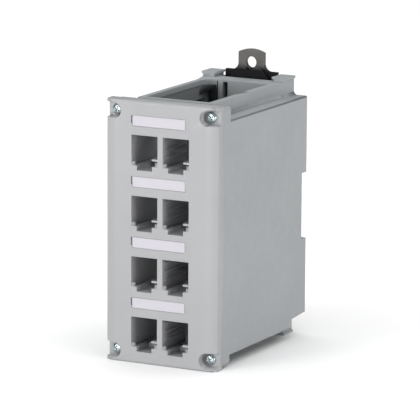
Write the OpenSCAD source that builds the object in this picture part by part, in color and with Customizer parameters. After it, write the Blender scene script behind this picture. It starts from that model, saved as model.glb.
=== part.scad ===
// Rail-mounted patch panel: a tall open-topped housing that hooks on a 35 mm rail,
// with a screwed front plate that holds eight snap-in jacks in two columns of four.
// X runs across the front, Y runs back towards the rail, Z runs up.
// The origin is under the middle of the part, on the surface that it stands on.

/* [Housing] */
// Width across the side walls
body_w = 64; // [60:1:80]
// Depth from the front face to the rear edge
body_d = 102.6; // [98:0.1:120]
// Moulded wall thickness
wall = 2.6; // [2:0.1:3.2]
// Depth of the tall collar behind the front plate
collar_d = 7.5; // [7:0.5:10]
// Height of the body's underside above the base
body_lift = 5.8; // [5:0.1:6.4]
// Drop from the front plate's top to the body's shoulder
shoulder_drop = 8.2; // [8:0.1:10]
// Drop from the front plate's top to the neck's rim
rim_drop = 0.6; // [0.3:0.1:1.2]
// Drop from the front plate's top to the collar's top
collar_drop = 1.2; // [0.9:0.1:1.8]
// Height of the collar's underside above the base
collar_lift = 1.4; // [1:0.1:2]

/* [Cable neck] */
// Outer width of the neck round the cable opening
neck_w = 43; // [40:0.5:44]
// Wall thickness of the neck's sides
neck_wall = 3.4; // [3:0.1:4]
// Thickness of the neck's front wall behind the collar
neck_front = 2.8; // [2:0.1:4]
// Radius of the hollow fillet at the neck's foot
neck_fillet = 2.2; // [1.5:0.1:3]

/* [Rear rail carrier] */
// Depth of the carrier behind the box's back wall
carrier_d = 15.5; // [15:0.5:18]
// Width of the latch channel between the guide posts
channel_w = 31; // [29:0.5:32]
// Width of each guide post
post_w = 8.7; // [7:0.1:9]
// Depth of each guide post
post_d = 10.7; // [10.2:0.1:11.5]
// Rise of the guide posts above the front plate's top
post_rise = 2; // [1:0.1:3]
// Outward lip at both ends of each guide post
post_lip = 0.9; // [0.5:0.1:1.5]

/* [Rail] */
// Width of the mounting rail
rail_w = 35; // [35:0.5:36]
// Thickness of the rail's flange
rail_t = 1; // [0.8:0.1:1.2]
// Height of the rail's middle above the base
rail_mid = 69.6; // [66:0.2:72]
// Depth of the rail slot
slot_d = 5.2; // [5:0.1:6]
// Play above and below the rail
rail_play = 0.15; // [0.1:0.05:0.3]
// Overlap of the hook and of the latch's nose on the rail's flange
hook_grip = 2.2; // [1.8:0.1:2.6]

/* [Front plate] */
// Height of the front plate
plate_h = 136; // [134:0.5:150]
// Depth of the front plate
plate_d = 8.4; // [8:0.1:10]
// Thickness of the front plate's skin
skin = 2.4; // [2:0.1:3]
// Width of the falling margin along each side
margin_w = 6.6; // [6:0.1:8]
// How far the margin falls back at the side
margin_fall = 2.8; // [1.5:0.1:3.2]

/* [Jack ports] */
// Rows of ports
rows = 4; // [2:1:4]
// Distance from one row to the next
row_pitch = 31.5; // [30.5:0.1:31.5]
// Distance from one column to the next
col_pitch = 18.05; // [17.5:0.05:18.5]
// Width of a port
port_w = 15; // [14.6:0.1:15.4]
// Height of a port's main opening
port_h = 13.6; // [13.2:0.1:14]
// Height of a port with the recess for the jack's catch
port_full_h = 18.1; // [17.6:0.1:18.4]
// Width of the catch recess
recess_w = 8.7; // [8:0.1:9.5]
// Distance from the front plate's top to the first row
first_row = 17.3; // [16.5:0.1:18]
// Depth of the wall between the two columns, from the front face
sleeve_d = 25.2; // [22:0.1:28]
// Depth of the walls outside the two columns, from the front face
outer_d = 28; // [22:0.1:32]
// Thickness of the outer walls and of the shelves above the ports
sleeve_wall = 1.5; // [1.2:0.1:1.8]

/* [Labels] */
// Width of a label
label_w = 30.2; // [26:0.1:32]
// Height of a label
label_h = 5.3; // [4:0.1:5.8]
// Thickness of a label
label_t = 0.3; // [0.2:0.05:0.6]
// Gap between a label and the row under it
label_gap = 4.7; // [3.5:0.1:5.5]

/* [Screws] */
// Outer diameter of the screw's thread
screw_d = 3; // [2.5:0.1:3.5]
// Diameter of the screw's head
head_d = 5.6; // [5:0.1:6.5]
// Height of the screw's head
head_h = 1.9; // [1.5:0.1:2.4]
// Length of the screw under its head
screw_l = 8; // [7:0.5:9]
// Distance from the side to the screw's axis
screw_inset = 5; // [4.6:0.1:5.4]
// Height of a screw pocket
pocket_h = 8; // [7.2:0.1:8.6]
// Length of a screw pocket from the side
pocket_l = 9.4; // [9:0.1:10.4]
// Distance from the plate's end to the pocket's middle
pocket_inset = 5.6; // [5.2:0.1:6]
// Depth of the pocket's floor
pocket_d = 5.2; // [4.8:0.1:5.6]

/* [Rail latch] */
// Thickness of the latch plate
latch_t = 2.4; // [2:0.1:2.6]
// Width of the pull tab
tab_w = 15.2; // [13:0.1:18]
// Rise of the tab above the guide posts
tab_rise = 12.4; // [11:0.1:16]
// Diameter of the pull hole
pull_hole_d = 6; // [5:0.1:6.5]
// Travel of the latch when it is pulled up
latch_travel = 4; // [3:0.1:4.5]

/* [Hidden] */
$fn = 48;

// Clearances
eps = 0.01;
overrun = 1;
slide_gap = 0.2;
seat_gap = 0.05;
label_clear = 0.2;
shank_clear = 0.03;
plate_hole_clear = 0.2;
rib_clear = 0.3;

// Housing
half_w = body_w / 2;
shoulder_z = plate_h - shoulder_drop;
rim_z = plate_h - rim_drop;
collar_z = plate_h - collar_drop;
collar_r = 1.5;
collar_y = plate_d;
body_y = plate_d + collar_d;
carrier_y = body_d - carrier_d;
back_in_y = carrier_y - wall;
cavity_half_w = half_w - wall;
cavity_low = body_lift + wall;
cavity_high = shoulder_z - wall;
carrier_front_rise = 4.85;
carrier_rear_rise = 6;
carrier_low_front = body_lift + carrier_front_rise;
carrier_low_rear = body_lift + carrier_rear_rise;
edge_r = 1;
boss_r = 3.6;
screw_end_room = 0.5;

// Neck
neck_half = neck_w / 2;
neck_in = neck_half - neck_wall;
neck_y = body_y + neck_front;
bead_h = 2.7;
bead_proud = 0.9;
cap_t = 0.9;
foot_bead_w = 0.5;
foot_bead_h = 0.35;
notch_y = body_y + 30;
notch_l = 12.5;
notch_d = 0.85;
bar_root = 1;
fillet_sink = 0.02;

// Guide posts and the latch channel
post_in = channel_w / 2;
post_out = post_in + post_w;
post_y = body_d - post_d;
post_top = plate_h + post_rise;
lip_h = 1.2;
lip_hollow = 0.9;
flare_y = back_in_y - 4;
flare_l = sqrt(pow(post_y - flare_y, 2) + pow(post_out - neck_half, 2));
flare_a = atan((post_out - neck_half) / (post_y - flare_y));
mitre_room = 12;
ear_relief = 1.9;
ear_lip = 1;
ear_low = rim_z - 0.4;
latch_y = body_d - latch_t;
guide_room = 4.3;
channel_y = latch_y - guide_room;
channel_t = 2.5;
web_y = channel_y - channel_t;

// Tie bar and the windows beside it, in the box's back wall
bar_in = 8.2;
bar_w = 2.8;
bar_proud = 0.8;
window_in = 5.7;
window_h = 22;

// Rail slot and fixed hook
slot_low = rail_mid - rail_w / 2 - rail_play;
slot_high = rail_mid + rail_w / 2 + rail_play;
slot_y = body_d - slot_d;
rail_slack = 0.3;
behind_rail_y = slot_y + rail_t + rail_slack;
hook_w = 24;
hook_base = 12;
hook_rise = 3;
hook_edge = 0.8;

// Front plate
row_top = [for (i = [0 : rows - 1]) plate_h - first_row - i * row_pitch];
port_x = [-col_pitch / 2, col_pitch / 2];
nub_w = (port_w - recess_w) / 2;
nub_h = 1;
nub_d = 2.6;
corner_w = 1.5;
corner_h = 2.1;
corner_back = 0.3;
floor_drop = port_h + corner_h;
nub_rise = 1.9;
nub_top = port_h - nub_rise;
recess_d = 17;
gutter_w = 0.8;
gutter_h = 0.6;
divider_gap = 0.3;
divider_low = cavity_low + divider_gap;
divider_step_y = body_y - wall - divider_gap;
rib_first = 1.8;
rib_pitch = 4.4;
rib_t = 0.9;
rib_proud = 0.5;
plate_edge_r = 1.2;
locate_l = 2.4;
locate_t = 1.5;
locate_end = 18;
nick_z = 32.6;
nick_w = 1.1;
nick_d = 0.5;

// Labels
label_x = -0.85;
label_recess = 0.5;
slit_w = 0.6;
slit_d = 1;
slit_h = 4;
thumb_l = 2.2;
thumb_edge = 0.9;

// Screws
screw_x = half_w - screw_inset;
screw_z = [plate_h - pocket_inset, pocket_inset];
pocket_wall = 1.6;
tip_l = 0.6;
tip_taper = 1;
cross_w = 0.8;
cross_l = 3.2;
cross_d = 1.1;

// Latch
latch_half = post_in - slide_gap;
wing_rise = 0.9;
wing_z = post_top + wing_rise;
tab_top = post_top + tab_rise;
tab_arch = 1.8;
tab_r = (pow(tab_w / 2, 2) + pow(tab_arch, 2)) / (2 * tab_arch);
tab_fillet = 4;
pull_hole_drop = 7;
pull_hole_z = tab_top - pull_hole_drop;
nose_low = slot_high - hook_grip;
nose_w = 20;
nose_lift = 3;
nose_slope = 3;
nose_edge = 0.5;
tongue_w = 1.6;
tongue_t = 2.2;
tongue_bite = 0.6;
tongue_y = latch_y - tongue_t + tongue_bite;
tongue_low = slot_high + nose_lift;
tongue_l = 32;
tongue_high = tongue_low + tongue_l;
groove_room = 1;
pad_proud = 1.9;
pad_half = 11;
pad_shoulder = 6;
pad_valley = 2.6;
pad_valley_w = 1;
pad_valley_d = 1.8;
pad_top = wing_z + 2.1;
pad_edge = post_top - 2.3;
pad_low = rim_z - 12;

// Spring and its two seats
spring_d = 3.8;
wire_d = 0.5;
spring_turns = 9;
spring_y = channel_y + slide_gap + spring_d / 2;
spring_rise = 8.8;
spring_low = slot_high + spring_rise;
spring_l = 16;
spring_high = spring_low + spring_l;
seat_w = 8;
seat_t = 3;
peg_d = 2.2;
peg_h = 1.5;
stop_w = 6;
stop_h = 2.4;
stop_d = 1.7;

// Outline in X and Z, drawn along Y from y0 to y1
module along_y(y0, y1) {
    translate([0, y1, 0]) rotate([90, 0, 0]) linear_extrude(y1 - y0) children();
}

// Outline in Y and Z, drawn along X from x0 to x1
module along_x(x0, x1) {
    translate([x0, 0, 0]) rotate([90, 0, 90]) linear_extrude(x1 - x0) children();
}

// Box between two corners
module span(a, b) {
    translate(a) cube(b - a);
}

// The same thing on both sides
module both_sides() {
    children();
    mirror([1, 0, 0]) children();
}

// Everything is drawn from the front face and moved so that the origin is under its middle
module at_origin() {
    translate([0, -body_d / 2, 0]) children();
}

// Rectangle with rounded corners, from its lower left corner
module round_rect(w, h, r) {
    translate([r, 0]) square([w - 2 * r, h]);
    translate([0, r]) square([w, h - 2 * r]);
    for (x = [r, w - r], y = [r, h - r]) translate([x, y]) circle(r);
}

// Hollow quarter fillet that rises along its left side, sunk a little into both faces
module hollow_corner(r) {
    centre = r - fillet_sink;
    difference() {
        translate([-2 * fillet_sink, -2 * fillet_sink]) square(r + fillet_sink);
        translate([centre, centre]) circle(r);
    }
}

module body_outline() {
    translate([-half_w, body_lift]) round_rect(body_w, shoulder_z - body_lift, edge_r);
}

// Tall collar with a boss behind each screw
module collar() {
    difference() {
        along_y(collar_y, body_y) translate([-half_w, collar_lift])
            round_rect(body_w, collar_z - collar_lift, collar_r);
        span([-cavity_half_w, collar_y - overrun, collar_lift + wall],
             [cavity_half_w, body_y - wall, collar_z - wall]);
    }
    both_sides() for (z = screw_z) {
        translate([screw_x, body_y - eps, z]) rotate([90, 0, 0]) cylinder(r = boss_r, h = collar_d - eps);
        low = z > rail_mid ? z : collar_lift + eps;
        high = z > rail_mid ? collar_z - eps : z;
        span([screw_x - boss_r / 2, collar_y, low], [screw_x + boss_r / 2, body_y - eps, high]);
        span([screw_x, collar_y, z - boss_r / 2], [half_w - eps, body_y - eps, z + boss_r / 2]);
    }
}

// Neck seen from above, with sides that flare out to the guide posts
module neck_plan() {
    right = [[neck_half, body_y - eps], [neck_half, flare_y], [post_out, post_y], [post_out, post_y + eps]];
    left = [for (i = [3 : -1 : 0]) [-right[i][0], right[i][1]]];
    polygon(concat(right, left));
}

// Hollow fillet along the flare and the guide post, whose two rounds meet in a mitre
module flare_foot() {
    centre = neck_fillet - fillet_sink;
    ahead = [sin(flare_a), cos(flare_a)];
    outward = [cos(flare_a), -sin(flare_a)];
    start = [neck_half, flare_y] - overrun * ahead;
    difference() {
        translate([0, 0, shoulder_z - 2 * fillet_sink]) linear_extrude(neck_fillet + fillet_sink)
            polygon([start + centre * outward, [post_out + centre, post_y - centre * tan(flare_a / 2)],
                     [post_out + centre, body_d], [post_out - 2 * fillet_sink, body_d],
                     [post_out - 2 * fillet_sink, post_y], start - 2 * fillet_sink * outward]);
        translate([neck_half, flare_y, shoulder_z + centre]) rotate([0, 0, -flare_a])
            along_y(-mitre_room, flare_l + mitre_room) translate([centre, 0]) circle(neck_fillet);
        along_y(post_y - mitre_room, body_d + overrun)
            translate([post_out + centre, shoulder_z + centre]) circle(neck_fillet);
    }
}

// Neck round the cable opening, with its rear wall doubled
module neck() {
    difference() {
        translate([0, 0, cavity_high]) linear_extrude(rim_z - cavity_high) neck_plan();
        span([wall - post_out, carrier_y, cavity_high - overrun], [post_out - wall, web_y, rim_z - cap_t]);
    }
}

// Guide post with an outward lip at each end
module guide_post() {
    span([post_in, post_y, 0], [post_out, body_d, post_top]);
    for (z = [0, post_top - lip_h])
        span([post_out - eps, post_y, z], [post_out + post_lip, body_d, z + lip_h]);
    along_y(post_y, body_d) {
        translate([post_out, lip_h]) hollow_corner(lip_hollow);
        translate([post_out, post_top - lip_h]) mirror([0, 1]) hollow_corner(lip_hollow);
    }
}

// Everything behind the box that takes the rail and the latch
module rail_carrier() {
    both_sides() {
        guide_post();
        along_x(cavity_half_w, half_w)
            polygon([[carrier_y - eps, carrier_low_front], [body_d, carrier_low_rear],
                     [body_d, shoulder_z - edge_r], [carrier_y - eps, shoulder_z - edge_r]]);
        along_x(post_out - eps, half_w)
            polygon([[carrier_y - eps, carrier_low_front], [body_d, carrier_low_rear],
                     [body_d, carrier_low_rear + wall], [carrier_y - eps, carrier_low_front + wall]]);
        along_y(carrier_y - eps, body_d) difference() {
            body_outline();
            translate([-half_w, 0]) square([body_w, cavity_high]);
            translate([-half_w, 0]) square([half_w + post_out - eps, plate_h]);
        }
        along_y(body_y - eps, flare_y + overrun)
            translate([neck_half, shoulder_z]) hollow_corner(neck_fillet);
        flare_foot();
        span([neck_half + neck_fillet - foot_bead_w / 2, body_y - eps, shoulder_z - eps],
             [neck_half + neck_fillet + foot_bead_w / 2, post_y, shoulder_z + foot_bead_h]);
        span([post_out - wall, carrier_y - eps, body_lift], [post_out, post_y + eps, rim_z - wall]);
        for (z = [slot_low - wall, slot_high])
            span([post_out - eps, carrier_y - eps, z], [cavity_half_w + eps, body_d, z + wall]);
    }
    span([-post_in - eps, web_y, body_lift], [post_in + eps, channel_y, rim_z]);
    span([-post_in - eps, back_in_y + eps, rim_z - cap_t], [post_in + eps, web_y + eps, rim_z]);
    fixed_hook();
    spring_anchor();
}

// Hook under the rail's lower flange
module fixed_hook() {
    along_x(-hook_w / 2, hook_w / 2)
        polygon([[channel_y - eps, slot_low - hook_base], [body_d, slot_low - hook_base + hook_rise],
                 [body_d, slot_low + hook_grip - hook_edge], [body_d - hook_edge, slot_low + hook_grip],
                 [behind_rail_y, slot_low + hook_grip], [behind_rail_y, slot_low],
                 [channel_y - eps, slot_low]]);
}

// Upper spring seat and the wedge that the latch comes to rest on
module spring_anchor() {
    span([-seat_w / 2, channel_y - eps, spring_high],
         [seat_w / 2, latch_y - slide_gap, spring_high + seat_t]);
    translate([0, spring_y, spring_high - peg_h]) cylinder(d = peg_d, h = peg_h + eps);
    along_x(-stop_w / 2, stop_w / 2)
        polygon([[channel_y - eps, spring_low - seat_t - seat_gap - stop_h],
                 [channel_y + stop_d, spring_low - seat_t - seat_gap],
                 [channel_y - eps, spring_low - seat_t - seat_gap]]);
}

// Room inside the box, the neck and the windows in the box's back wall
module housing_cuts() {
    span([-cavity_half_w, body_y - wall - overrun, cavity_low], [cavity_half_w, back_in_y, cavity_high]);
    span([-neck_in, neck_y, cavity_high - overrun], [neck_in, back_in_y, rim_z + overrun]);
    along_x(neck_in - overrun, neck_half + overrun)
        polygon([[notch_y, rim_z], [notch_y + notch_l, rim_z - notch_d],
                 [notch_y + notch_l, rim_z + overrun], [notch_y, rim_z + overrun]]);
    span([-neck_in - bead_proud, neck_y, cavity_high - overrun],
         [neck_in + bead_proud, back_in_y, rim_z - bead_h]);
    for (x = [[-neck_in, -bar_in - bar_w], [-bar_in, -window_in], [bar_in + bar_w, neck_in]])
        span([x[0], back_in_y - overrun, rim_z - wall - window_h],
             [x[1], carrier_y + overrun, rim_z - cap_t]);
    both_sides() for (z = screw_z)
        translate([screw_x, collar_y - overrun, z]) rotate([-90, 0, 0])
            cylinder(d = screw_d, h = screw_l - plate_d + pocket_d + overrun + screw_end_room);
}

// Slot across the back for the rail, and the grooves that the latch's tongues run in
module carrier_cuts() {
    span([-half_w - overrun, slot_y, slot_low], [half_w + overrun, behind_rail_y, slot_high]);
    both_sides() {
        span([hook_w / 2 + eps, slot_y, slot_low], [half_w + overrun, body_d + overrun, slot_high]);
        span([post_in - overrun, channel_y, ear_low],
             [post_in + ear_relief, body_d + overrun, post_top - lip_h]);
        span([post_in - overrun, post_y - overrun, rim_z],
             [post_in + ear_relief, channel_y + eps, post_top - lip_h]);
        span([post_in - overrun, post_y - overrun, post_top - lip_h - eps],
             [post_in + ear_relief - ear_lip, body_d + overrun, post_top + overrun]);
        span([post_in - overrun, tongue_y - slide_gap, slot_high - eps],
             [post_in + tongue_w, tongue_y + tongue_t + slide_gap, tongue_high + latch_travel + groove_room]);
    }
}

module housing() {
    color([0.70, 0.71, 0.72]) at_origin() difference() {
        union() {
            difference() {
                union() {
                    collar();
                    along_y(body_y - eps, carrier_y) body_outline();
                    neck();
                }
                housing_cuts();
            }
            rail_carrier();
            span([-bar_in - bar_w, back_in_y - bar_proud, rim_z - wall - window_h - bar_root],
                 [-bar_in, back_in_y + eps, rim_z - cap_t]);
        }
        carrier_cuts();
    }
}

// Opening that a jack snaps into, from its upper left corner
module port_outline() {
    translate([0, -floor_drop]) square([port_w, floor_drop]);
    translate([nub_w, -port_full_h]) square([recess_w, port_full_h]);
}

// Front plate seen from above: flat in the middle, falling back along both sides
module plate_plan() {
    flat = half_w - margin_w;
    fall_r = (pow(margin_w, 2) + pow(margin_fall, 2)) / (2 * margin_fall);
    steps = 6;
    right = [for (i = [0 : steps]) let (x = margin_w * i / steps)
        [flat + x, fall_r - sqrt(pow(fall_r, 2) - x * x)]];
    left = [for (i = [steps : -1 : 0]) [-right[i][0], right[i][1]]];
    polygon(concat(left, right, [[half_w, plate_d], [-half_w, plate_d]]));
}

// Front plate seen from the side, with its front edges eased
module plate_side() {
    intersection() {
        square([plate_d, plate_h]);
        round_rect(2 * plate_d, plate_h, plate_edge_r);
    }
}

// Solid corner that carries a screw pocket
module pocket_block(z) {
    reach = pocket_h / 2 + pocket_wall;
    low = z > rail_mid ? z - reach : eps;
    high = z > rail_mid ? plate_h - eps : z + reach;
    span([half_w - pocket_l - pocket_wall, skin - eps, low], [half_w - eps, plate_d, high]);
}

// Pocket with a round inner end, open at the side, and the screw's hole in its floor
module screw_pocket(z) {
    inner = half_w - pocket_l + pocket_h / 2;
    translate([inner, pocket_d, z]) rotate([90, 0, 0]) cylinder(d = pocket_h, h = pocket_d + overrun);
    span([inner, -overrun, z - pocket_h / 2], [half_w + overrun, pocket_d, z + pocket_h / 2]);
    translate([screw_x, -overrun, z]) rotate([-90, 0, 0])
        cylinder(d = screw_d + 2 * plate_hole_clear, h = plate_d + 2 * overrun);
}

// Upright walls beside the columns, a shelf above and a floor below each row, and the catch channels.
// Behind the collar the housing's own floor takes over from the lowest one
module jack_frame() {
    walls = [[port_x[0] - port_w / 2 - sleeve_wall, port_x[0] - port_w / 2, outer_d],
             [port_x[0] + port_w / 2, port_x[1] - port_w / 2, sleeve_d],
             [port_x[1] + port_w / 2, port_x[1] + port_w / 2 + sleeve_wall, outer_d]];
    difference() {
        union() {
            for (w = walls) span([w[0], skin - eps, divider_low], [w[1], w[2], row_top[0] + sleeve_wall]);
            for (z = row_top) {
                span([walls[0][0], skin - eps, z], [walls[2][1], sleeve_d, z + sleeve_wall]);
                span([walls[0][0], skin - eps, z - floor_drop - sleeve_wall],
                     [walls[2][1], sleeve_d, z - floor_drop + overrun]);
                for (x = port_x)
                    span([x - recess_w / 2 - sleeve_wall, skin - eps, z - port_full_h - sleeve_wall],
                         [x + recess_w / 2 + sleeve_wall, recess_d, z - floor_drop]);
            }
        }
        span([-half_w, divider_step_y, 0], [half_w, outer_d + overrun, divider_low]);
    }
}

// One row's openings, with a gutter where the floor meets the left wall
module port_cuts(z) {
    for (x = port_x) {
        translate([x - port_w / 2, 0, z]) along_y(-overrun, recess_d - sleeve_wall) port_outline();
        span([x - port_w / 2, recess_d - sleeve_wall - eps, z - floor_drop],
             [x + port_w / 2, outer_d + overrun, z]);
        span([x - (port_w + gutter_w) / 2, skin + corner_h, z - floor_drop - gutter_h],
             [x - (port_w - gutter_w) / 2, outer_d + overrun, z - floor_drop + eps]);
    }
}

// Nubs that hold the jack in both ports, and the guide ribs on the divider's right face
module port_details(z) {
    for (x = port_x) {
        span([x + port_w / 2 - nub_w, 0, z - nub_top - nub_h], [x + port_w / 2 + eps, nub_d, z - nub_top]);
        for (s = [-1, 1]) translate([x + s * (port_w - corner_w) / 2, corner_back, z - floor_drop - eps])
            translate([-corner_w / 2 - eps, 0, 0])
                cube([corner_w + 2 * eps, skin - corner_back, corner_h + eps]);
    }
    for (i = [0 : 2])
        span([port_x[1] - port_w / 2 - eps, skin, z - rib_first - i * rib_pitch - rib_t],
             [port_x[1] - port_w / 2 + rib_proud, sleeve_d, z - rib_first - i * rib_pitch]);
}

// Label recess, with a slit at its left end and a thumb notch that falls into it at its right end
module label_cut(z) {
    left = label_x - label_w / 2 - label_clear;
    right = label_x + label_w / 2 + label_clear;
    low = z + label_gap;
    span([left, -overrun, low - label_clear], [right, label_recess, low + label_h + label_clear]);
    span([left - slit_w, -overrun, low + label_h - slit_h], [left + eps, slit_d, low + label_h]);
    translate([0, 0, low + thumb_edge]) linear_extrude(label_h - 2 * thumb_edge)
        polygon([[right - eps, -overrun], [right - eps, label_recess], [right, label_recess],
                 [right + thumb_l, 0], [right + thumb_l, -overrun]]);
}

module front_plate() {
    color([0.77, 0.77, 0.78]) at_origin() difference() {
        union() {
            difference() {
                intersection() {
                    linear_extrude(plate_h) plate_plan();
                    along_x(-half_w, half_w) plate_side();
                }
                span([-half_w + skin, skin + margin_fall, skin],
                     [half_w - skin, plate_d + overrun, plate_h - skin]);
                span([-half_w + margin_w, skin, skin],
                     [half_w - margin_w, plate_d + overrun, plate_h - skin]);
            }
            both_sides() {
                for (z = screw_z) intersection() {
                    pocket_block(z);
                    linear_extrude(plate_h) plate_plan();
                }
                span([cavity_half_w - rib_clear - locate_t, skin + margin_fall - eps, locate_end],
                     [cavity_half_w - rib_clear, plate_d + locate_l, plate_h - locate_end]);
            }
            jack_frame();
        }
        both_sides() {
            for (z = screw_z) screw_pocket(z);
            for (z = [nick_z, plate_h - nick_z])
                span([half_w - nick_d, -overrun, z - nick_w / 2], [half_w + overrun, skin, z + nick_w / 2]);
        }
        for (z = row_top) {
            port_cuts(z);
            label_cut(z);
        }
    }
    color([0.77, 0.77, 0.78]) at_origin() for (z = row_top) port_details(z);
}

// Cross-recess pan-head screw, pointing back
module screw() {
    head_r = head_d / 2;
    dome_r = (pow(head_r, 2) + pow(head_h / 2, 2)) / head_h;
    difference() {
        union() {
            rotate([-90, 0, 0]) cylinder(d = screw_d - 2 * shank_clear, h = screw_l - tip_l);
            translate([0, screw_l - tip_l, 0]) rotate([-90, 0, 0])
                cylinder(d1 = screw_d - 2 * shank_clear, d2 = screw_d - tip_taper, h = tip_l);
            rotate([90, 0, 0]) rotate_extrude() intersection() {
                square([head_r, head_h]);
                translate([0, head_h - dome_r]) circle(dome_r, $fn = 96);
            }
        }
        for (a = [0, 90]) translate([0, -head_h, 0]) rotate([0, a, 0])
            translate([-cross_l / 2, -eps, -cross_w / 2]) cube([cross_l, cross_d, cross_w]);
    }
}

module screw_at(side, z) {
    color([0.78, 0.82, 0.82]) at_origin() translate([side * screw_x, pocket_d, z]) screw();
}

// Blank card label that lies in its recess
module label(row) {
    z = row_top[row] + label_gap;
    color([0.89, 0.87, 0.90]) at_origin() span([label_x - label_w / 2, label_recess - label_t, z],
                                             [label_x + label_w / 2, label_recess, z + label_h]);
}

// Latch plate: arched tab above, hollow flares to the full width, straight sides down to the nose
module latch_outline() {
    half_tab = tab_w / 2;
    intersection() {
        translate([-half_tab, tongue_low]) square([tab_w, tab_top - tongue_low]);
        translate([0, tab_top - tab_r]) circle(tab_r, $fn = 180);
    }
    translate([-latch_half, slot_high + nose_lift]) square([2 * latch_half, wing_z - slot_high - nose_lift]);
    for (s = [0, 1]) mirror([s, 0]) translate([half_tab, wing_z]) hollow_corner(tab_fillet);
    translate([-nose_w / 2, nose_low]) square([nose_w, tongue_low - nose_low]);
}

// Raised pad on the front of the latch, with two shoulders
module pad_outline() {
    foot = pad_valley - pad_valley_w;
    right = [[pad_valley, pad_top], [pad_shoulder, pad_top], [pad_half, pad_edge], [pad_half, pad_low]];
    left = [for (i = [3 : -1 : 0]) [-right[i][0], right[i][1]]];
    polygon(concat([[foot, pad_top - pad_valley_d]], right, left, [[-foot, pad_top - pad_valley_d]]));
}

module rail_latch() {
    color([0.09, 0.09, 0.09]) at_origin() difference() {
        union() {
            along_y(latch_y, body_d) latch_outline();
            along_y(latch_y - pad_proud, latch_y + eps) pad_outline();
            span([-nose_w / 2, behind_rail_y, nose_low], [nose_w / 2, latch_y + eps, tongue_low]);
            both_sides() span([latch_half - 1, tongue_y, tongue_low],
                              [post_in + tongue_w - slide_gap, tongue_y + tongue_t, tongue_high]);
            span([-seat_w / 2, channel_y + slide_gap, spring_low - seat_t],
                 [seat_w / 2, latch_y + eps, spring_low]);
            translate([0, spring_y, spring_low - eps]) cylinder(d = peg_d, h = peg_h + eps);
        }
        translate([0, latch_y - pad_proud - overrun, pull_hole_z]) rotate([-90, 0, 0])
            cylinder(d = pull_hole_d, h = latch_t + pad_proud + 2 * overrun, $fn = 64);
        along_x(-nose_w / 2 - overrun, nose_w / 2 + overrun)
            polygon([[body_d + eps, nose_low + nose_slope], [body_d + eps, nose_low - eps],
                     [latch_y - nose_edge, nose_low - eps]]);
    }
}

// Coil spring: the wire's rings follow a helix whose end turns lie nearly flat
coil_r = (spring_d - wire_d) / 2;
wire_sides = 8;
turn_steps = 16;
coil_steps = spring_turns * turn_steps;
coil_l = spring_l - wire_d - 2 * seat_gap;
function eased(t) = let (e = 1 / spring_turns)
    t < e ? 0.35 * t : (t > 1 - e ? 1 - 0.35 * (1 - t) : 0.35 * e + (t - e) * (1 - 0.7 * e) / (1 - 2 * e));
function coil_z(i) = spring_low + seat_gap + wire_d / 2 + coil_l * eased(i / coil_steps);
function ring(i) = let (a = 360 * i / turn_steps)
    [for (k = [0 : wire_sides - 1]) let (b = -360 * k / wire_sides, r = coil_r + wire_d / 2 * cos(b))
        [r * cos(a), spring_y + r * sin(a), coil_z(i) + wire_d / 2 * sin(b)]];

module latch_spring() {
    points = [for (i = [0 : coil_steps]) each ring(i)];
    sides = [for (i = [0 : coil_steps - 1], k = [0 : wire_sides - 1])
        let (k2 = (k + 1) % wire_sides, a = i * wire_sides)
        [a + k, a + k2, a + wire_sides + k2, a + wire_sides + k]];
    first = [for (k = [wire_sides - 1 : -1 : 0]) k];
    last = [for (k = [0 : wire_sides - 1]) coil_steps * wire_sides + k];
    color([0.6, 0.6, 0.6]) at_origin() polyhedron(points, concat(sides, [first, last]));
}

housing();
front_plate();
screw_at(-1, screw_z[0]);  // screw_top_left
screw_at(1, screw_z[0]);  // screw_top_right
screw_at(-1, screw_z[1]);  // screw_bottom_left
screw_at(1, screw_z[1]);  // screw_bottom_right
label(0);  // label_row_1
label(1);  // label_row_2
label(2);  // label_row_3
label(3);  // label_row_4
rail_latch();
latch_spring();
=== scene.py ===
import math

import bpy
from mathutils import Matrix, Vector


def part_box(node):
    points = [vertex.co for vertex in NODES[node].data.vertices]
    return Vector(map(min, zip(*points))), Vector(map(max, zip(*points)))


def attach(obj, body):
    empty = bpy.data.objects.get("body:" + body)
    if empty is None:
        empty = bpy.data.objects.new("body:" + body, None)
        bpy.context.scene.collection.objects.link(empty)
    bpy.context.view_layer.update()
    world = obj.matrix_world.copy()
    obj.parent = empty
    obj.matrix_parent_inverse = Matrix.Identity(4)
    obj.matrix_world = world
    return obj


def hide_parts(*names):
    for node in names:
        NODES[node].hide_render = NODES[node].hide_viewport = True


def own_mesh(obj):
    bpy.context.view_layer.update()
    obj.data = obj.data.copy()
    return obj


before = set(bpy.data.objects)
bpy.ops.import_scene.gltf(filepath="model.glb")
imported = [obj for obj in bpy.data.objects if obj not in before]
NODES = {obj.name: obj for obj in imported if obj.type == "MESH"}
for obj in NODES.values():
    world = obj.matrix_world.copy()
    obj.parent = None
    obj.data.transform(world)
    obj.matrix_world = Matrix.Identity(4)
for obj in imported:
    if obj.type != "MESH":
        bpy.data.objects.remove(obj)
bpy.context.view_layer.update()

MM = 0.001


def deselect_all():
    if bpy.context.object and bpy.context.object.mode != "OBJECT":
        bpy.ops.object.mode_set(mode="OBJECT")
    bpy.ops.object.select_all(action="DESELECT")


def make_active(piece):
    deselect_all()
    piece.select_set(True)
    bpy.context.view_layer.objects.active = piece


# Camera, set from the photograph's own view

FRAME_PIXELS = 420
SENSOR_MM = 36.0
FOCAL_PIXELS = 3728.28
CAMERA_YAW = math.radians(27.744)
CAMERA_PITCH = math.radians(11.25)
CAMERA_ROLL = math.radians(0.33)
CAMERA_PLACE = Vector((885.01, -1679.2, 450.01)) * MM


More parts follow.
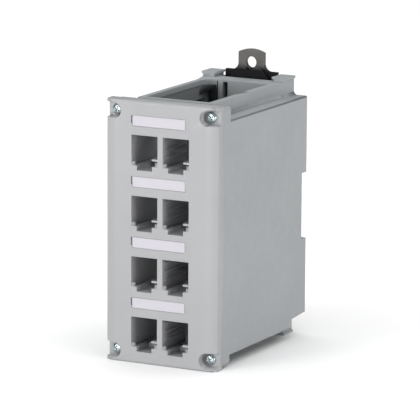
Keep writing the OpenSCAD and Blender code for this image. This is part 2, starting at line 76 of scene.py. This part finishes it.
def set_camera():
    forward = Vector((-math.sin(CAMERA_YAW) * math.cos(CAMERA_PITCH),
                      math.cos(CAMERA_YAW) * math.cos(CAMERA_PITCH),
                      -math.sin(CAMERA_PITCH)))
    level = Vector((math.cos(CAMERA_YAW), math.sin(CAMERA_YAW), 0.0))
    upright = level.cross(forward)
    right = level * math.cos(CAMERA_ROLL) + upright * math.sin(CAMERA_ROLL)
    up = upright * math.cos(CAMERA_ROLL) - level * math.sin(CAMERA_ROLL)
    data = bpy.data.cameras.new("camera")
    data.sensor_width = SENSOR_MM
    data.lens = FOCAL_PIXELS * SENSOR_MM / FRAME_PIXELS
    data.clip_end = 20.0
    camera = bpy.data.objects.new("camera", data)
    bpy.context.scene.collection.objects.link(camera)
    turn = Matrix((right, up, -forward)).transposed().to_4x4()
    camera.matrix_world = Matrix.Translation(CAMERA_PLACE) @ turn
    bpy.context.scene.camera = camera


# Studio

WORLD_STRENGTH = 0.02
CEILING_POWER = 179.0
FRONT_POWER = 14.5
KEY_POWER = 19.0
EDGE_POWER = 20.0


def add_softbox(name, place, aim, size, power):
    data = bpy.data.lights.new(name, "AREA")
    data.shape = "RECTANGLE"
    data.size, data.size_y = size
    data.energy = power
    lamp = bpy.data.objects.new(name, data)
    bpy.context.scene.collection.objects.link(lamp)
    lamp.location = place
    lamp.rotation_euler = (Vector(aim) - Vector(place)).to_track_quat("-Z", "Y").to_euler()
    return lamp


def set_studio():
    world = bpy.data.worlds.new("studio")
    bpy.context.scene.world = world
    world.use_nodes = True
    backdrop = world.node_tree.nodes["Background"]
    backdrop.inputs["Color"].default_value = (0.97, 0.98, 1.0, 1.0)
    backdrop.inputs["Strength"].default_value = WORLD_STRENGTH
    add_softbox("ceiling", (0.0, 0.6, 2.4), (0.0, 0.6, 0.0), (6.0, 6.0), CEILING_POWER)
    add_softbox("front", (0.1, -2.1, 0.14), (0.0, 0.0, 0.07), (1.2, 0.2), FRONT_POWER)
    add_softbox("key", (-0.9, -1.8, 0.6), (0.0, 0.0, 0.07), (0.8, 0.6), KEY_POWER)
    add_softbox("edge", (2.1, -0.3, 0.26), (0.0, 0.0, 0.07), (1.2, 0.4), EDGE_POWER)
    bpy.context.scene.view_settings.view_transform = "Standard"
    bpy.ops.mesh.primitive_plane_add(size=8.0, location=(0, 0, 0))
    floor = bpy.context.object
    floor.name = "floor"
    paper = bpy.data.materials.new("floor_paper")
    paper.use_nodes = True
    shader = paper.node_tree.nodes["Principled BSDF"]
    shader.inputs["Base Color"].default_value = (0.94, 0.94, 0.94, 1.0)
    shader.inputs["Roughness"].default_value = 0.9
    shader.inputs["Specular IOR Level"].default_value = 0.1
    floor.data.materials.append(paper)


# Materials. Every pattern reads Object coordinates, in metres

class Finish:
    def __init__(self, name):
        self.material = bpy.data.materials.new(name)
        self.material.use_nodes = True
        self.tree = self.material.node_tree
        self.shader = self.tree.nodes["Principled BSDF"]
        self.place = self.tree.nodes.new("ShaderNodeTexCoord").outputs["Object"]

    def link(self, source, target):
        self.tree.links.new(source, target)

    def stretched(self, scale, turn=(0.0, 0.0, 0.0)):
        mapping = self.tree.nodes.new("ShaderNodeMapping")
        mapping.inputs["Scale"].default_value = scale
        mapping.inputs["Rotation"].default_value = turn
        self.link(self.place, mapping.inputs["Vector"])
        return mapping.outputs["Vector"]

    def noise(self, scale, detail=2.0, rough=0.5, where=None):
        node = self.tree.nodes.new("ShaderNodeTexNoise")
        node.inputs["Scale"].default_value = scale
        node.inputs["Detail"].default_value = detail
        node.inputs["Roughness"].default_value = rough
        self.link(where or self.place, node.inputs["Vector"])
        return node.outputs["Fac"]

    def ramp(self, source, low, high, low_value, high_value):
        node = self.tree.nodes.new("ShaderNodeMapRange")
        node.inputs["From Min"].default_value = low
        node.inputs["From Max"].default_value = high
        node.inputs["To Min"].default_value = low_value
        node.inputs["To Max"].default_value = high_value
        self.link(source, node.inputs["Value"])
        return node.outputs["Result"]

    def mix(self, factor, first, second):
        node = self.tree.nodes.new("ShaderNodeMix")
        node.data_type = "RGBA"
        self.link(factor, node.inputs["Factor"])
        for value, socket in ((first, node.inputs["A"]), (second, node.inputs["B"])):
            if isinstance(value, tuple):
                socket.default_value = (*value, 1.0)
            else:
                self.link(value, socket)
        return node.outputs["Result"]

    def bump(self, height, depth, strength=1.0, under=None):
        node = self.tree.nodes.new("ShaderNodeBump")
        node.inputs["Strength"].default_value = strength
        node.inputs["Distance"].default_value = depth
        self.link(height, node.inputs["Height"])
        if under:
            self.link(under, node.inputs["Normal"])
        return node.outputs["Normal"]

    def set(self, socket, value):
        if isinstance(value, tuple):
            self.shader.inputs[socket].default_value = (*value, 1.0)
        elif isinstance(value, float):
            self.shader.inputs[socket].default_value = value
        else:
            self.link(value, self.shader.inputs[socket])


# Heights in metres over which the latch's colour turns from painted shade to a painted sheen on its upper tab
PAINTED_SHEEN_FROM = 0.1395
PAINTED_SHEEN_FULL = 0.1425


def moulded_plastic(name, pale, deep, smooth, matt, grain_depth):
    """Satin moulding: slow drifts of tone, a fine spark-eroded grain and faint sink marks."""
    finish = Finish(name)
    drift = finish.ramp(finish.noise(28.0, 3.0), 0.35, 0.65, 0.0, 1.0)
    speck = finish.ramp(finish.noise(1500.0, 2.0), 0.30, 0.70, 0.0, 1.0)
    tone = finish.mix(drift, pale, deep)
    finish.set("Base Color", finish.mix(finish.ramp(speck, 0.0, 1.0, 0.0, 0.25), tone, deep))
    finish.set("Roughness", finish.ramp(finish.noise(190.0, 4.0, 0.6), 0.3, 0.7, smooth, matt))
    sink = finish.bump(finish.noise(45.0, 1.0), 0.00025)
    finish.set("Normal", finish.bump(finish.noise(2200.0, 3.0, 0.6), grain_depth, under=sink))
    finish.set("IOR", 1.5)
    finish.set("Specular IOR Level", 0.45)
    return finish.material


def latch_nylon(name):
    """Black nylon, with a painted brownish sheen on its upper tab and painted shade, deep black, lower down."""
    finish = Finish(name)
    height = finish.tree.nodes.new("ShaderNodeSeparateXYZ")
    finish.link(finish.place, height.inputs["Vector"])
    # Painted light: the base colour goes by height alone from painted shade, deep black lower down, to a painted
    # brownish sheen on the upper tab
    painted_sheen_rise = finish.ramp(height.outputs["Z"], PAINTED_SHEEN_FROM, PAINTED_SHEEN_FULL, 0.0, 1.0)
    cloud = finish.ramp(finish.noise(160.0, 3.0), 0.3, 0.7, 0.0, 1.0)
    painted_sheen = finish.mix(cloud, (0.074, 0.070, 0.064), (0.058, 0.055, 0.050))
    finish.set("Base Color", finish.mix(painted_sheen_rise, (0.003, 0.003, 0.004), painted_sheen))
    finish.set("Specular IOR Level", finish.ramp(painted_sheen_rise, 0.0, 1.0, 0.12, 0.55))
    finish.set("Roughness", finish.ramp(finish.noise(700.0, 4.0, 0.6), 0.3, 0.7, 0.30, 0.46))
    finish.set("Normal", finish.bump(finish.noise(1900.0, 3.0, 0.6), 0.00002))
    return finish.material


def zinc_plate(name):
    finish = Finish(name)
    bloom = finish.ramp(finish.noise(420.0, 3.0), 0.35, 0.65, 0.0, 1.0)
    finish.set("Base Color", finish.mix(bloom, (0.52, 0.59, 0.60), (0.36, 0.43, 0.45)))
    finish.set("Metallic", 1.0)
    finish.set("Roughness", finish.ramp(finish.noise(900.0, 4.0), 0.3, 0.7, 0.22, 0.36))
    lines = finish.noise(700.0, 2.0, where=finish.stretched((1.0, 1.0, 14.0)))
    finish.set("Normal", finish.bump(lines, 0.00002))
    return finish.material


def spring_wire(name):
    finish = Finish(name)
    haze = finish.ramp(finish.noise(800.0, 3.0), 0.3, 0.7, 0.0, 1.0)
    finish.set("Base Color", finish.mix(haze, (0.56, 0.56, 0.55), (0.42, 0.42, 0.42)))
    finish.set("Metallic", 1.0)
    finish.set("Roughness", finish.ramp(haze, 0.0, 1.0, 0.25, 0.4))
    return finish.material


def label_paper(name):
    finish = Finish(name)
    fibres = finish.noise(900.0, 5.0, 0.65, where=finish.stretched((1.0, 1.0, 3.0)))
    finish.set("Base Color", finish.mix(finish.ramp(fibres, 0.3, 0.7, 0.0, 1.0), (0.475, 0.460, 0.500), (0.445, 0.430, 0.470)))
    finish.set("Roughness", finish.ramp(fibres, 0.3, 0.7, 0.55, 0.75))
    finish.set("Normal", finish.bump(fibres, 0.00003))
    return finish.material


# Dressing: each moulded piece is a merged copy of its CAD solid with its edges rounded

SHORT_EDGE = 0.6 * MM
FRONT_EDGE = 2.4 * MM
NARROW_FACE = 1.6
NODE_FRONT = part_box("front_plate")[0][1]
FRONT_REACH = 0.3 * MM
MARGIN_REACH = 2.85 * MM
MARGIN_START = 25.0 * MM


def clean_mesh(piece, merge, flat_faces):
    make_active(piece)
    bpy.ops.object.mode_set(mode="EDIT")
    bpy.ops.mesh.select_all(action="SELECT")
    bpy.ops.mesh.remove_doubles(threshold=merge)
    if flat_faces:
        bpy.ops.mesh.select_mode(type="FACE")
        bpy.ops.mesh.select_all(action="DESELECT")
        bpy.ops.object.mode_set(mode="OBJECT")
        for face in piece.data.polygons:
            face.select = flat_faces(face.center)
        bpy.ops.object.mode_set(mode="EDIT")
    bpy.ops.mesh.dissolve_limited(angle_limit=math.radians(0.5))
    bpy.ops.mesh.select_mode(type="VERT")
    bpy.ops.object.mode_set(mode="OBJECT")


def apply_modifier(piece, name):
    make_active(piece)
    bpy.ops.object.modifier_apply(modifier=name)


def round_edges(piece, width, angle=40.0, segments=2):
    bevel = piece.modifiers.new("edges", "BEVEL")
    bevel.limit_method = "ANGLE"
    bevel.angle_limit = math.radians(angle)
    bevel.width = width
    bevel.segments = segments
    bevel.use_clamp_overlap = False
    bevel.loop_slide = False
    apply_modifier(piece, "edges")


def outer_edges(piece, width, angle, wanted):
    """Marks the sharp edges that stand out from the solid and pass the given test of their ends."""
    mesh = piece.data
    sides = {}
    for face in mesh.polygons:
        for key in face.edge_keys:
            sides.setdefault(key, []).append(face)
    marked = []
    for edge in mesh.edges:
        faces = sides.get(tuple(sorted(edge.vertices)), [])
        if len(faces) != 2:
            marked.append(False)
            continue
        bend = faces[0].normal.angle(faces[1].normal, 0.0)
        outwards = (faces[1].center - faces[0].center).dot(faces[0].normal) < 0.0
        ends = [mesh.vertices[index].co for index in edge.vertices]
        narrow = min(face.area for face in faces) < NARROW_FACE * width * (ends[0] - ends[1]).length
        marked.append(bend > math.radians(angle) and outwards and not narrow and wanted(*ends))
    return marked


def round_outer_edges(piece, width, wanted, angle=40.0):
    marked = outer_edges(piece, width, angle, wanted)
    make_active(piece)
    bpy.ops.object.mode_set(mode="EDIT")
    bpy.ops.mesh.select_mode(type="EDGE")
    bpy.ops.mesh.select_all(action="DESELECT")
    bpy.ops.object.mode_set(mode="OBJECT")
    for edge, chosen in zip(piece.data.edges, marked):
        edge.select = chosen
    bpy.ops.object.mode_set(mode="EDIT")
    bpy.ops.mesh.bevel(offset=width, segments=2, affect="EDGES", clamp_overlap=False, loop_slide=False)
    bpy.ops.mesh.select_mode(type="VERT")
    bpy.ops.object.mode_set(mode="OBJECT")


def smooth_faces(piece, angle):
    make_active(piece)
    bpy.ops.object.shade_smooth_by_angle(angle=math.radians(angle))
    weighted = piece.modifiers.new("weighted", "WEIGHTED_NORMAL")
    weighted.keep_sharp = True
    weighted.weight = 80
    apply_modifier(piece, "weighted")


def finish_piece(piece, node, body, material):
    piece.data.materials.clear()
    piece.data.materials.append(material)
    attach(piece, body)
    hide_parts(node)
    return piece


def long_enough(first, second):
    return (first - second).length > SHORT_EDGE


def front_face(centre):
    return centre.y < NODE_FRONT + FRONT_REACH


def on_front(first, second):
    front = NODE_FRONT + FRONT_REACH
    margin = NODE_FRONT + MARGIN_REACH
    return (first - second).length > FRONT_EDGE and all(
        end.y < front or (abs(end.x) > MARGIN_START and end.y < margin) for end in (first, second))


def dressed(node, body, material, edge, merge=0.004 * MM, smooth=40.0, wanted=None, refine=None,
            flat_faces=None):
    piece = NODES[node].copy()
    piece.data = NODES[node].data.copy()
    for key in list(piece.keys()):
        del piece[key]
    piece.name = node + "_finished"
    bpy.context.scene.collection.objects.link(piece)
    clean_mesh(piece, merge, flat_faces)
    if refine:
        refine(piece)
    if edge and wanted:
        round_outer_edges(piece, edge, wanted)
    elif edge:
        round_edges(piece, edge)
    smooth_faces(piece, smooth)
    return finish_piece(piece, node, body, material)


# Closer work on the housing's moulding round its cable opening, in its own millimetres

HALF_DEPTH = -NODE_FRONT / MM
NECK_INSIDE = 18.1
NECK_REAR = 84.5
NECK_RIM = 135.4
CORNER_END = -12.0
BEAD_FOOT = 132.7
BEAD_PROUD = 0.9
CORNER_LOW = 127.0
CORNER_RISE = 4.0
WALL_BITE = 0.5
HAIR = 0.02
WINDOW_LEFT = 11.0
WINDOW_SPAN = (110.8, 134.5)
WALL_DEPTH = 2.5
FLARE_START = (21.5, 80.5)
FLARE_END = (24.2, 91.9)
FILLET_RADIUS = 2.18
FILLET_FOOT = 127.8
LEDGE_TOP = 133.2
TRIM_FROM = 6.0
TRIM_PAST = 0.3
TRIM_WIDTH = 2.5


def placed(x, y, z):
    return Vector((x, y - HALF_DEPTH, z)) * MM


def block(name, low, high):
    deselect_all()
    near, far = placed(*low), placed(*high)
    bpy.ops.mesh.primitive_cube_add(size=1.0, location=(near + far) / 2)
    tool = bpy.context.object
    tool.name = name
    tool.scale = far - near
    bpy.ops.object.transform_apply(location=True, rotation=False, scale=True)
    return tool


def rod(name, radius, foot, head):
    deselect_all()
    low, high = placed(*foot), placed(*head)
    bpy.ops.mesh.primitive_cylinder_add(vertices=64, radius=radius * MM, depth=(high - low).length,
                                        location=(low + high) / 2)
    tool = bpy.context.object
    tool.name = name
    tool.rotation_euler = (high - low).to_track_quat("Z", "Y").to_euler()
    bpy.ops.object.transform_apply(location=True, rotation=True, scale=False)
    return tool


def combine(piece, tool, operation):
    change = piece.modifiers.new("change", "BOOLEAN")
    change.operation = operation
    change.solver = "EXACT"
    change.object = tool
    apply_modifier(piece, "change")
    bpy.data.objects.remove(tool, do_unlink=True)


def hollow_corner(inside, low, high):
    radius = CORNER_END + inside
    start_y = NECK_REAR - radius
    corner = block("neck_corner", (-inside - WALL_BITE, start_y, low), (CORNER_END, NECK_REAR + WALL_BITE, high))
    combine(corner, rod("corner_round", radius, (CORNER_END, start_y, low - WALL_BITE),
                        (CORNER_END, start_y, high + WALL_BITE)), "DIFFERENCE")
    return corner


def lower_corner():
    """Rounded corner under the neck's bead, whose lower edge climbs towards the tie bar."""
    inside = NECK_INSIDE + BEAD_PROUD
    radius = CORNER_END + inside
    corner = hollow_corner(inside, CORNER_LOW, BEAD_FOOT)
    slope = math.atan2(CORNER_RISE, radius * math.sqrt(2.0))
    under = block("corner_under", (-15.0, HALF_DEPTH - 15.0, -10.0), (15.0, HALF_DEPTH + 15.0, 0.0))
    under.rotation_euler = (0.0, -slope, math.radians(45.0))
    under.location = placed(-inside, NECK_REAR - radius, CORNER_LOW)
    make_active(under)
    bpy.ops.object.transform_apply(location=True, rotation=True, scale=False)
    combine(corner, under, "DIFFERENCE")
    return corner


def trim_flare(piece, side):
    """Takes off the ledge that stands out of the flare over its hollow fillet."""
    run = Vector((FLARE_END[0] - FLARE_START[0], FLARE_END[1] - FLARE_START[1]))
    ahead = run.normalized()
    outward = Vector((ahead.y, -ahead.x))
    begin = Vector(FLARE_START) + ahead * TRIM_FROM
    end = Vector(FLARE_END) + ahead * TRIM_PAST
    middle = (begin + end) / 2 + outward * (HAIR + TRIM_WIDTH / 2)
    length = (end - begin).length
    axis_z = FILLET_FOOT + FILLET_RADIUS
    centre_z = (axis_z + LEDGE_TOP) / 2
    tool = block("ledge_box", (-TRIM_WIDTH / 2, HALF_DEPTH - length / 2, axis_z - centre_z),
                 (TRIM_WIDTH / 2, HALF_DEPTH + length / 2, LEDGE_TOP - centre_z))
    tool.rotation_euler = (0.0, 0.0, -side * math.atan2(ahead.x, ahead.y))
    tool.location = placed(side * middle.x, middle.y, centre_z)
    make_active(tool)
    bpy.ops.object.transform_apply(location=True, rotation=True, scale=False)
    combine(piece, tool, "DIFFERENCE")
    shift = outward * (HAIR + FILLET_RADIUS)
    low, high = begin + shift, end + shift
    combine(piece, rod("ledge_round", FILLET_RADIUS, (side * low.x, low.y, axis_z),
                       (side * high.x, high.y, axis_z)), "DIFFERENCE")


def refine_housing(piece):
    for side in (-1.0, 1.0):
        trim_flare(piece, side)
    combine(piece, block("rear_panel", (WINDOW_LEFT, NECK_REAR + HAIR, WINDOW_SPAN[0] - HAIR),
                         (NECK_INSIDE + HAIR, NECK_REAR + WALL_DEPTH, WINDOW_SPAN[1] + HAIR)), "UNION")
    combine(piece, lower_corner(), "UNION")
    combine(piece, hollow_corner(NECK_INSIDE, BEAD_FOOT - HAIR, NECK_RIM - HAIR), "UNION")


# Screws: the pan head is drawn out ring by ring, and the cross is cut with tapered cutters

SCREW_RINGS = ((-7.4, 1.44), (0.0, 1.44), (0.0, 2.70), (0.12, 2.80), (0.55, 2.80), (0.85, 2.72),
               (1.15, 2.50), (1.42, 2.15), (1.65, 1.68), (1.80, 1.15), (1.88, 0.60))
SCREW_TIP = (-8.0, 1.0)
SCREW_SIDES = 48
HEAD_HEIGHT = 1.9
CROSS_DEPTH = 1.15
CROSS_LENGTH = 1.62
CROSS_WIDTH = 0.40


def cutter(name, long_half, wide_half, foot_share, depth, turn):
    spread = math.sqrt(2.0)
    bpy.ops.mesh.primitive_cone_add(vertices=4, radius1=foot_share * spread * MM, radius2=spread * MM,
                                    depth=depth * MM, rotation=(0, 0, math.radians(45.0)))
    tool = bpy.context.object
    tool.name = name
    bpy.ops.object.transform_apply(location=False, rotation=True, scale=False)
    tool.scale = (long_half, wide_half, 1.0)
    bpy.ops.object.transform_apply(location=False, rotation=False, scale=True)
    tool.rotation_euler = (0, 0, turn)
    tool.location = (0, 0, (HEAD_HEIGHT + 0.02) * MM - depth * MM / 2)
    bpy.ops.object.transform_apply(location=True, rotation=True, scale=False)
    return tool


def pan_head_screw(node, material, turn):
    deselect_all()
    low, radius = SCREW_TIP
    bpy.ops.mesh.primitive_circle_add(vertices=SCREW_SIDES, radius=radius * MM, fill_type="NGON",
                                      location=(0, 0, low * MM))
    piece = bpy.context.object
    piece.name = node + "_finished"
    bpy.ops.object.transform_apply(location=True, rotation=False, scale=False)
    bpy.ops.object.mode_set(mode="EDIT")
    bpy.ops.mesh.select_all(action="SELECT")
    for height, wide in SCREW_RINGS:
        bpy.ops.mesh.extrude_region_move(TRANSFORM_OT_translate={"value": (0, 0, (height - low) * MM)})
        bpy.ops.transform.resize(value=(wide / radius, wide / radius, 1.0), center_override=(0, 0, height * MM))
        low, radius = height, wide
    bpy.ops.mesh.select_all(action="SELECT")
    bpy.ops.mesh.normals_make_consistent(inside=False)
    bpy.ops.object.mode_set(mode="OBJECT")
    for quarter in (0.0, math.pi / 2):
        deselect_all()
        combine(piece, cutter("cross_cutter", CROSS_LENGTH, CROSS_WIDTH, 0.55, CROSS_DEPTH, quarter), "DIFFERENCE")
    deselect_all()
    combine(piece, cutter("centre_cutter", 0.62, 0.62, 0.5, CROSS_DEPTH + 0.1, math.pi / 4), "DIFFERENCE")
    round_edges(piece, 0.05 * MM, 38.0)
    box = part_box(node)
    piece.rotation_euler = (math.pi / 2, math.radians(turn), 0)
    piece.location = ((box[0][0] + box[1][0]) / 2, box[0][1] + HEAD_HEIGHT * MM, (box[0][2] + box[1][2]) / 2)
    make_active(piece)
    bpy.ops.object.transform_apply(location=True, rotation=True, scale=False)
    smooth_faces(piece, 30.0)
    return finish_piece(piece, node, "panel", material)


deselect_all()
set_camera()
set_studio()

housing_plastic = moulded_plastic("housing_plastic", (0.282, 0.298, 0.306), (0.266, 0.282, 0.290), 0.42, 0.56, 0.00002)
plate_plastic = moulded_plastic("plate_plastic", (0.323, 0.325, 0.334), (0.306, 0.308, 0.317), 0.40, 0.54, 0.000015)
black_plastic = latch_nylon("black_plastic")
zinc = zinc_plate("zinc_plated")
steel = spring_wire("spring_steel")
card = label_paper("label_card")

dressed("housing", "panel", housing_plastic, 0.14 * MM,
        wanted=long_enough, refine=refine_housing)
dressed("front_plate", "panel", plate_plastic, 0.14 * MM, wanted=on_front,
        flat_faces=front_face)
dressed("rail_latch", "latch", black_plastic, 0.25 * MM)
for place, turn in (("top_left", 24.0), ("top_right", 57.0), ("bottom_left", 8.0), ("bottom_right", 71.0)):
    pan_head_screw("screw_" + place, zinc, turn)
for row in range(1, 5):
    dressed("label_row_%d" % row, "panel", card, 0.05 * MM)
spring = dressed("latch_spring", "panel", steel, 0.0)
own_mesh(spring)
